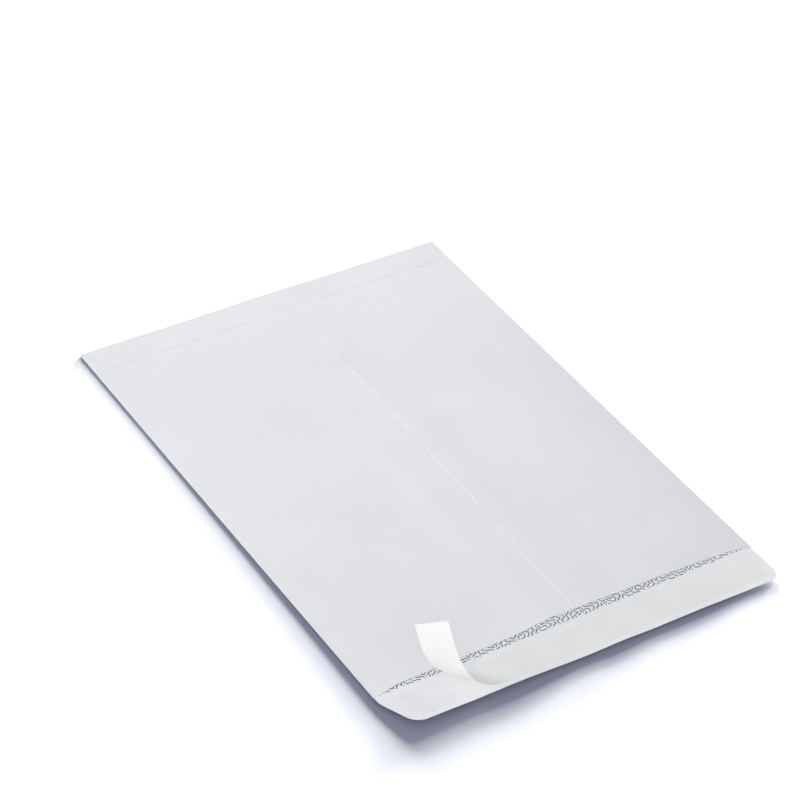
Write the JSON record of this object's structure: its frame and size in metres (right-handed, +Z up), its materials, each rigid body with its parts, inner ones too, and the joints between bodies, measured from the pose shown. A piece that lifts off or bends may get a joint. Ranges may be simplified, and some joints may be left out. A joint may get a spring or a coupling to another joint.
{
  "type": "peel and seal pocket envelope",
  "caption": "Flat white paper pocket envelope with a glued centre seam, a folded bottom flap and an open peel-and-seal closing flap on its short side.",
  "frame": {"origin": "middle of the footprint, on the table that the envelope lies on", "axes": "+X to the right across the width, +Y from the mouth to the bottom flap, +Z up; the seam side is up and the closing flap points to -Y"},
  "size_m": [0.229, 0.3298, 0.0412],
  "materials": {
    "white_paper": "matte",
    "gum": "satin",
    "seal_adhesive": "gloss",
    "liner_paper": "satin"
  },
  "bodies": {
    "root": {"envelope_sheet": "white_paper", "seam_glue": "gum", "bottom_flap_glue": "gum", "seal_adhesive": "seal_adhesive", "release_liner": "liner_paper"}
  },
  "joints": []
}
